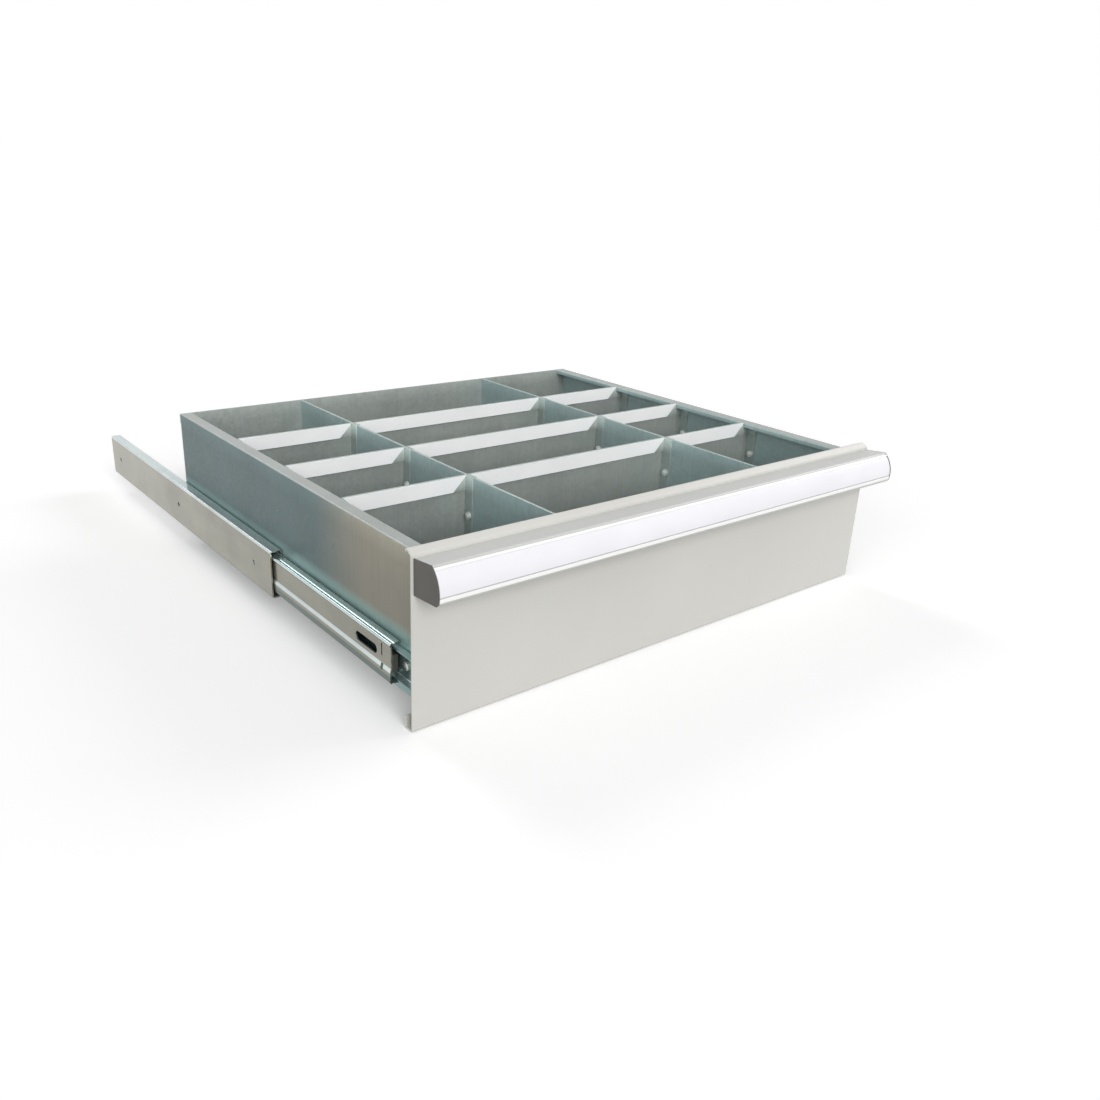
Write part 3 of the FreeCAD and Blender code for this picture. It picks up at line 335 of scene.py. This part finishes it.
def powder_coat(name, pale, deep, roughness):
    """Powder coat: a faint drift of tone and the fine dimples of orange peel."""
    recipe = Recipe(name, roughness)
    tone = recipe.shaded(recipe.noise(7.0, 4.0), deep, pale)
    specks = recipe.ramp(recipe.noise(1600.0, 1.0), [(0.42, deep), (0.6, pale)])
    recipe.colour(recipe.blend(tone, specks, 0.25))
    recipe.roughness(recipe.span(recipe.noise(60.0), roughness - 0.05, roughness + 0.05))
    recipe.bump(recipe.noise(900.0, 2.0), 0.12, 0.2 * MM)
    return recipe.material


def galvanised(name, front, side, top_sheen, outer=None, crest=1.3):
    """Galvanised sheet with crystals, rolling lines and clouds, and with painted light: a painted
    reflection makes its flanks cooler and the faces that turn up paler, and painted shade darkens
    it low down.

    outer holds the painted reflections on a long wall's outer face: at the drawer's front end, at
    its rear and beside the slide. crest is how much paler a painted sheen makes the sheet over its
    upper hem."""
    recipe = Recipe(name, 0.42, 0.3)
    # Painted reflection: faces that turn along X take the cooler side tone.
    tone = recipe.blend(front, side, recipe.facing("X"))
    if outer:
        # Painted reflections on the outer face: warm near the front, dark teal at the rear, pale
        # beside the slide.
        near_reflection, rear, foot_reflection = outer
        outer_reflection = recipe.blend(near_reflection, rear, recipe.span(recipe.along("Y"), 0.0, 1.0, *WALL_REFLECTION_DEPTHS))
        outer_reflection = recipe.blend(outer_reflection, foot_reflection, recipe.span(recipe.along("Z"), 0.95, 0.0, *FOOT_REFLECTION_HEIGHTS))
        tone = recipe.blend(tone, outer_reflection, recipe.span(recipe.outward(), 0.0, 1.0, *OUTER_FACE))
    # Painted shade: darker low in the sheet, lighter high up.
    tone = recipe.scaled(tone, recipe.span(recipe.along("Z"), 0.96, 1.04, *LOW_SHADE_HEIGHTS))
    # Painted sheen over the hem.
    tone = recipe.scaled(tone, recipe.span(recipe.along("Z"), 1.0, crest, *HEM_SHEEN_HEIGHTS))
    # Painted sheen: faces that turn up take the paler tone.
    tone = recipe.blend(tone, top_sheen, recipe.facing("Z"))
    cloud = recipe.noise(11.0, 5.0, 0.6)
    crystals = recipe.crystals(330.0)
    lines = recipe.noise(1.0, 3.0, 0.6, recipe.stretched((520.0, 520.0, 9.0)))
    tone = recipe.scaled(tone, recipe.span(cloud, 0.9, 1.1, *MIDDLE_OF_NOISE))
    tone = recipe.scaled(tone, recipe.span(crystals, 0.95, 1.05))
    recipe.colour(recipe.scaled(tone, recipe.span(lines, 0.96, 1.04, *MIDDLE_OF_NOISE)))
    recipe.roughness(recipe.span(crystals, 0.36, 0.5))
    recipe.bump(recipe.noise(420.0), 0.1, 0.1 * MM)
    return recipe.material


def zinc(name, under_shade, web, edge, top_sheen, roughness, foot_reflection=None):
    """Bright zinc plate, warm on its webs, with streaks, and with painted light: painted shade
    where it turns down and painted highlights on its upper bends.

    foot_reflection: a painted dark reflection, the duller tone of the face below the middle
    member's bulge."""
    recipe = Recipe(name, roughness, 0.8)
    # Painted dark reflection: the face below the middle member's bulge takes the duller foot tone.
    if foot_reflection:
        web = recipe.blend(web, foot_reflection, recipe.span(recipe.along("Z"), 1.0, 0.0, *BULGE_REFLECTION_HEIGHTS))
    rise = recipe.rise()
    # Painted shade on faces that turn down.
    tone = recipe.blend(web, under_shade, recipe.span(rise, 1.0, 0.0, *SHADE_TURN_DOWN))
    # Painted highlights on the upper bends.
    bends = recipe.ramp(rise, [(0.6, edge), (0.95, top_sheen)])
    tone = recipe.blend(tone, bends, recipe.span(rise, 0.0, 1.0, *HIGHLIGHT_TURN_UP))
    streaks = recipe.noise(1.0, 4.0, 0.6, recipe.stretched((700.0, 9.0, 700.0)))
    cloud = recipe.noise(24.0)
    tone = recipe.scaled(tone, recipe.span(streaks, 0.93, 1.07, *MIDDLE_OF_NOISE))
    recipe.colour(recipe.scaled(tone, recipe.span(cloud, 0.88, 1.12, *MIDDLE_OF_NOISE)))
    recipe.roughness(recipe.span(streaks, roughness - 0.04, roughness + 0.06))
    recipe.bump(streaks, 0.06, 0.05 * MM)
    return recipe.material


def label_channel(name, pale, upper_groove_shade, lower_groove_shade):
    """White channel for a label: its beads are bright, and painted shade makes the floor between
    them greyer.
    """
    recipe = Recipe(name, 0.25)
    # Painted shade in the grooves on either side of the label, deeper in the lower one.
    height = recipe.span(recipe.along("Z"), 0.0, 1.0, *GROOVE_SHADE_HEIGHTS)
    proud = recipe.span(recipe.from_line(GRIP_CENTRE), 0.0, 1.0, *BEAD_RADII)
    recipe.colour(recipe.blend(recipe.blend(lower_groove_shade, upper_groove_shade, height), pale, proud))
    recipe.roughness(recipe.span(recipe.noise(80.0), 0.2, 0.3))
    return recipe.material


def moulded(name, pale, deep, roughness, grain=700.0):
    """Moulded plastic, or a plain label, with a fine grain."""
    recipe = Recipe(name, roughness)
    recipe.colour(recipe.shaded(recipe.noise(25.0, 4.0), deep, pale))
    recipe.roughness(recipe.span(recipe.noise(80.0), roughness - 0.06, roughness + 0.06))
    recipe.bump(recipe.noise(grain, 2.0), 0.15, 0.1 * MM)
    return recipe.material


def polished(name, pale, deep, roughness, outside=None):
    """Polished or plain plated steel with faint scuffs.

    outside is the tone of the threads' ends in the long walls, which are as dull as the walls."""
    recipe = Recipe(name, roughness, 1.0)
    scuffs = recipe.noise(300.0, 4.0, 0.7)
    tone = recipe.shaded(scuffs, deep, pale)
    if outside:
        dulled = recipe.span(recipe.size(recipe.along("X")), 0.0, 1.0, *THREAD_END_REACH)
        tone = recipe.blend(tone, outside, dulled)
        recipe.join(recipe.span(dulled, 0.5, 0.3), recipe.shader.inputs["Metallic"])
    recipe.colour(tone)
    recipe.roughness(recipe.span(scuffs, roughness, roughness + 0.15))
    return recipe.material


MATERIALS = {
    "front_paint": powder_coat("front_paint", srgb(212, 211, 206), srgb(206, 205, 200), 0.36),
    "grip_paint": powder_coat("grip_paint", srgb(204, 205, 202), srgb(198, 199, 196), 0.38),
    "cap_plastic": moulded("cap_plastic", srgb(92, 90, 85), srgb(81, 79, 74), 0.55),
    # The two greys are painted shade in the label channel's grooves.
    "holder_white": label_channel("holder_white", srgb(253, 253, 250), srgb(232, 232, 235),
                                  srgb(192, 190, 197)),
    "label_white": moulded("label_white", srgb(240, 239, 243), srgb(235, 234, 239), 0.35, 300.0),
    # The side and upward tones are painted reflections.
    "galvanised": galvanised("galvanised", srgb(158, 164, 160), srgb(146, 166, 166),
                             srgb(165, 176, 171)),
    # The slides' dark and pale tones are painted shade and highlights.
    "slide_zinc": zinc("slide_zinc", srgb(72, 82, 76), srgb(156, 154, 143), srgb(222, 228, 226),
                       srgb(190, 203, 203), 0.22),
    "cage_steel": polished("cage_steel", srgb(176, 182, 180), srgb(140, 146, 144), 0.35),
    "ball_steel": polished("ball_steel", srgb(225, 228, 230), srgb(200, 204, 207), 0.08),
    "screw_zinc": polished("screw_zinc", srgb(238, 241, 239), srgb(215, 220, 217), 0.24),
    "bumper_plastic": moulded("bumper_plastic", srgb(72, 70, 65), srgb(58, 57, 53), 0.5),
}

# Finishes of their own for the nodes whose names hold one of these words.
SPECIAL = {
    # The wall's outer tones are painted reflections: warm at the front end, dark teal at the rear,
    # pale beside the slide.
    "side_wall": galvanised("galvanised_wall", srgb(150, 156, 152), srgb(146, 166, 166),
                            srgb(162, 168, 165),
                            (srgb(140, 136, 123), srgb(84, 103, 104), srgb(146, 176, 173))),
    # The slides' tones hold painted light: shade below, highlights on the upper bends, and a
    # painted dark reflection below the middle member's bulge.
    "middle_member": zinc("middle_zinc", srgb(66, 78, 76), srgb(148, 147, 136),
                          srgb(214, 224, 223), srgb(180, 200, 200), 0.2, srgb(104, 117, 111)),
    "inner_member": zinc("inner_zinc", srgb(62, 78, 78), srgb(124, 148, 146),
                         srgb(228, 238, 238), srgb(186, 206, 206), 0.2),
    # crest=2.1 paints a strong sheen over the cross dividers' hems.
    "cross_divider": galvanised("galvanised_cross", srgb(158, 164, 160), srgb(144, 156, 153),
                                srgb(165, 176, 171), crest=2.1),
    "cross_label": moulded("strip_white", srgb(255, 255, 255), srgb(250, 250, 251), 0.3, 300.0),
    "divider_screws": polished("divider_screw_zinc", srgb(238, 241, 239), srgb(215, 220, 217),
                               0.24, srgb(138, 152, 148)),
}


def finish_of(node):
    """A node's special finish, or else the material of its slot."""
    for word, material in SPECIAL.items():
        if word in node:
            return material
    return MATERIALS[SLOTS[node]]


def finish_nodes():
    """Give every CAD node its finish, and soften the edges of the sheets that show theirs."""
    for node, obj in frame["nodes"].items():
        obj.data.materials.clear()
        obj.data.materials.append(finish_of(node))
        if node in BEVELS:
            bevel = obj.modifiers.new("soft_edges", "BEVEL")
            bevel.width = BEVELS[node]
            bevel.segments = 2
            bevel.limit_method = "ANGLE"
            bevel.angle_limit = BEVEL_ANGLE
            bevel.harden_normals = True


# ---- fasteners ---------------------------------------------------------------------

def islands(node):
    """The corners of each separate solid in a node."""
    mesh = frame["nodes"][node].data
    places = {}
    same = [places.setdefault(tuple(round(c * PER_MICRON) for c in v.co), v.index)
            for v in mesh.vertices]
    lead = list(range(len(same)))

    def root(index):
        while lead[index] != index:
            lead[index] = lead[lead[index]]
            index = lead[index]
        return index

    for edge in mesh.edges:
        first, second = (root(same[index]) for index in edge.vertices)
        lead[first] = second
    groups = {}
    for index in set(same):
        groups.setdefault(root(index), []).append(mesh.vertices[index].co.copy())
    return list(groups.values())


def off_line(corner, centre, line):
    """A corner's distance from a centre line."""
    gap = corner - centre
    return (gap - line * gap.dot(line)).length


def measured(corners, axis):
    """A solid's centre, its centre line, half its length, its radius at each end, and a corner
    that is farthest from the line."""
    low = Vector([min(corner[k] for corner in corners) for k in range(3)])
    high = Vector([max(corner[k] for corner in corners) for k in range(3)])
    centre = (low + high) / 2
    line = Vector([1.0 if k == axis else 0.0 for k in range(3)])
    half = (high[axis] - low[axis]) / 2
    ends = [max(off_line(corner, centre, line) for corner in corners
                if abs(corner[axis] - centre[axis] - side * half) < END_MARGIN)
            for side in (-1, 1)]
    widest = max(corners, key=lambda corner: off_line(corner, centre, line))
    return centre, line, half, ends, widest


def placed(mesh, centre, up, towards):
    """Turn a mesh made along +Z to stand along up, with its X side towards a point."""
    gap = towards - centre
    across = (gap - up * gap.dot(up)).normalized()
    axes = Matrix((across, up.cross(across), up)).transposed()
    bmesh.ops.transform(mesh, matrix=Matrix.Translation(centre) @ axes.to_4x4(), verts=mesh.verts)


def ring(mesh, radius, height, count=RING_COUNT):
    return [mesh.verts.new((radius * math.cos(turn), radius * math.sin(turn), height))
            for turn in (math.tau * step / count for step in range(count))]


def skin(mesh, rings):
    """Walls between neighbouring rings of the same count."""
    for lower, upper in zip(rings, rings[1:]):
        count = len(lower)
        for step in range(count):
            after = (step + 1) % count
            mesh.faces.new((lower[step], lower[after], upper[after], upper[step]))


def cross_outline(mesh, radius, head_height, shape):
    """One outline of a head's cross recess."""
    half_width, half_length = (radius * share for share in shape[:2])
    height = head_height * shape[2]
    corners = []
    for turn in range(4):
        angle = turn * math.pi / 2
        for along, across in ((half_width, -half_width), (half_length, -half_width),
                              (half_length, half_width)):
            corners.append(mesh.verts.new((along * math.cos(angle) - across * math.sin(angle),
                                           along * math.sin(angle) + across * math.cos(angle),
                                           height)))
    return corners


def fill_between(mesh, outer, inner):
    """A flat face between a ring and an outline inside it."""
    edges = []
    for loop in (outer, inner):
        for step, vert in enumerate(loop):
            after = loop[(step + 1) % len(loop)]
            edges.append(mesh.edges.get((vert, after)) or mesh.edges.new((vert, after)))
    bmesh.ops.triangle_fill(mesh, use_beauty=True, edges=edges)


def thread(mesh, radius, start, length, form):
    """The rings of a thread, from start upwards."""
    crest, step, root = form
    rings = []
    turns = max(1, int(length / THREAD_PITCH))
    for turn in range(turns):
        height = start + (turn + crest) * length / turns
        rings.append(ring(mesh, radius, height))
        rings.append(ring(mesh, radius * root, height + step * length / turns))
    return rings


def screw(head_radius, head_height, length):
    """A screw with a rounded head above zero, a cross recess and a threaded shank."""
    mesh = bmesh.new()
    rings = [ring(mesh, THREAD_RADIUS * SCREW_TIP, -length)]
    rings += thread(mesh, THREAD_RADIUS, -length, length, SCREW_THREAD)
    rings.append(ring(mesh, THREAD_RADIUS, 0.0))
    rings.append(ring(mesh, head_radius * HEAD_UNDERSIDE, 0.0))
    for height, wide in HEAD_PROFILE:
        rings.append(ring(mesh, head_radius * wide, head_height * height))
    skin(mesh, rings)
    mesh.faces.new(list(reversed(rings[0])))
    mouth = cross_outline(mesh, head_radius, head_height, RECESS_MOUTH)
    bottom = cross_outline(mesh, head_radius, head_height, RECESS_BOTTOM)
    fill_between(mesh, rings[-1], mouth)
    skin(mesh, [mouth, bottom])
    mesh.faces.new(bottom)
    return mesh


def nut(flat, height):
    """A hexagon nut with chamfered corners; a corner points along +X."""
    mesh = bmesh.new()
    loops = []
    for end in (-1, 1):
        rim = []
        for step in range(NUT_COUNT):
            angle = math.tau * step / NUT_COUNT
            reach = flat / math.cos((angle % (math.pi / 3)) - math.pi / 6)
            drop = (reach - flat) * NUT_CHAMFER
            rim.append(mesh.verts.new((reach * math.cos(angle), reach * math.sin(angle),
                                       end * (height / 2 - drop))))
        face = ring(mesh, flat * NUT_FACE, end * height / 2, NUT_COUNT)
        bore = ring(mesh, NUT_HOLE * BORE_MOUTH, end * height / 2, NUT_COUNT)
        throat = ring(mesh, NUT_HOLE, end * (height / 2 - NUT_HOLE * BORE_CHAMFER), NUT_COUNT)
        loops.append([throat, bore, face, rim])
    low, high = loops
    skin(mesh, low + high[::-1] + low[:1])
    return mesh


def stud(radius, length):
    """A threaded rod with a chamfered free end, from zero upwards."""
    mesh = bmesh.new()
    rings = [ring(mesh, radius, 0.0)]
    rings += thread(mesh, radius, 0.0, length, STUD_THREAD)
    rings.append(ring(mesh, radius * STUD_TIP, length))
    skin(mesh, rings)
    mesh.faces.new(list(reversed(rings[0])))
    mesh.faces.new(rings[-1])
    return mesh


def screw_like(corners, axis):
    """A detailed screw in the place of a plain one."""
    centre, line, half, ends, widest = measured(corners, axis)
    up = line * (1 if ends[1] > ends[0] else -1)
    seat = max((corner - centre).dot(-up) for corner in corners
               if off_line(corner, centre, line) > THREAD_RADIUS * HEAD_OVER_THREAD)
    mesh = screw(off_line(widest, centre, line), half + seat, half - seat)
    placed(mesh, centre - up * seat, up, centre - up * seat + RECESS_TURN)
    return mesh


def nut_like(corners, axis):
    """A detailed nut in the place of a plain one."""
    centre, line, half, _, widest = measured(corners, axis)
    flat = off_line(widest, centre, line) * math.cos(math.pi / 6)
    mesh = nut(flat, half * 2)
    placed(mesh, centre, line, widest)
    return mesh


def stud_like(corners, axis):
    """A detailed stud in the place of a plain one."""
    centre, line, half, ends, widest = measured(corners, axis)
    mesh = stud(max(ends), half * 2)
    placed(mesh, centre - line * half, line, widest)
    return mesh


def dress(node, axis, detailed):
    """One piece of detailed fasteners, which stands for a node and rides on its body."""
    name = node + "_detail"
    whole = bmesh.new()
    for corners in islands(node):
        mesh = detailed(corners, axis)
        part = bpy.data.meshes.new("part")
        bmesh.ops.recalc_face_normals(mesh, faces=mesh.faces)
        mesh.to_mesh(part)
        mesh.free()
        whole.from_mesh(part)
        bpy.data.meshes.remove(part)
    data = bpy.data.meshes.new(name)
    whole.to_mesh(data)
    whole.free()
    data.materials.append(finish_of(node))
    obj = bpy.data.objects.new(name, data)
    bpy.context.scene.collection.objects.link(obj)
    for face in data.polygons:
        face.use_smooth = True
    data.set_sharp_from_angle(angle=SHARP_ANGLE)
    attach(obj, BODY_OF[node])
    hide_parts(node)


# Each group of fasteners, the axis that they lie along and what draws a detailed one.
FASTENERS = (("divider_screws", 0, screw_like),
             ("left_slide_screws", 0, screw_like),
             ("right_slide_screws", 0, screw_like),
             ("grip_screws", 1, screw_like),
             ("divider_nuts", 0, nut_like),
             ("front_panel_nuts", 1, nut_like),
             ("front_panel_studs", 1, stud_like))


# ---- stage -------------------------------------------------------------------------

def make_world():
    """White where it is seen or mirrored, and a plain level as light."""
    world = bpy.data.worlds.new("studio")
    world.use_nodes = True
    bpy.context.scene.world = world
    tree = world.node_tree
    shader = tree.nodes["Background"]
    shader.inputs["Color"].default_value = (1.0, 1.0, 1.0, 1.0)
    strength = tree.nodes.new("ShaderNodeMapRange")
    strength.inputs["To Min"].default_value = SKY_LIGHT
    strength.inputs["To Max"].default_value = 1.0
    tree.links.new(seen_level(tree), strength.inputs["Value"])
    tree.links.new(strength.outputs["Result"], shader.inputs["Strength"])


def make_floor():
    """A wide white floor just under the panel's lower edge. It lights the object less than it
    shows."""
    level = cad_box[0][2] - FLOOR_GAP
    bpy.ops.mesh.primitive_plane_add(size=FLOOR_SIZE, location=(0.0, 0.0, level))
    floor = bpy.context.object
    floor.name = "floor"
    recipe = Recipe("floor_paper", 0.95)
    recipe.shader.inputs["Specular IOR Level"].default_value = 0.0
    seen = seen_level(recipe.tree)
    white = recipe.ramp(recipe.noise(2.0, 2.0),
                        [(0.0, srgb(253, 253, 253)), (1.0, srgb(255, 255, 255))])
    recipe.colour(recipe.blend((FLOOR_BOUNCE, FLOOR_BOUNCE, FLOOR_BOUNCE, 1.0), white, seen))
    recipe.shader.inputs["Emission Color"].default_value = (1.0, 1.0, 1.0, 1.0)
    recipe.join(recipe.span(seen, 0.0, FLOOR_GLOW), recipe.shader.inputs["Emission Strength"])
    floor.data.materials.append(recipe.material)


def make_lamp(name, towards, level, spread):
    """A distant lamp. The level is what a white surface that faces it gets."""
    data = bpy.data.lights.new(name, "SUN")
    data.energy = level * math.pi
    data.angle = math.radians(spread)
    lamp = bpy.data.objects.new(name, data)
    bpy.context.scene.collection.objects.link(lamp)
    lamp.rotation_euler = Vector(towards).to_track_quat("Z", "Y").to_euler()


def make_camera():
    """The photograph's view: yaw to the right of +Y, pitch down, then roll."""
    yaw, pitch, roll = (math.radians(angle) for angle in (CAMERA_YAW, CAMERA_PITCH, CAMERA_ROLL))
    forward = Vector((math.sin(yaw) * math.cos(pitch), math.cos(yaw) * math.cos(pitch),
                      -math.sin(pitch)))
    right = Vector((math.cos(yaw), -math.sin(yaw), 0.0))
    down = forward.cross(right)
    rolled_right = right * math.cos(roll) - down * math.sin(roll)
    rolled_down = right * math.sin(roll) + down * math.cos(roll)
    data = bpy.data.cameras.new("camera")
    data.sensor_width = SENSOR
    data.lens = FOCAL_PIXELS / PICTURE_PIXELS * SENSOR
    data.shift_x = (PICTURE_PIXELS / 2 - CENTRE_X) / PICTURE_PIXELS
    data.shift_y = (CENTRE_Y - PICTURE_PIXELS / 2) / PICTURE_PIXELS
    data.clip_start = NEAR_CLIP
    camera = bpy.data.objects.new("camera", data)
    bpy.context.scene.collection.objects.link(camera)
    axes = Matrix((rolled_right, -rolled_down, -forward)).transposed()
    camera.matrix_world = Matrix.Translation(CAMERA_PLACE) @ axes.to_4x4()
    bpy.context.scene.camera = camera


finish_nodes()
for node, axis, detailed in FASTENERS:
    dress(node, axis, detailed)
make_world()
make_floor()
for lamp in LAMPS:
    make_lamp(*lamp)
make_camera()
bpy.context.scene.view_settings.view_transform = "Standard"
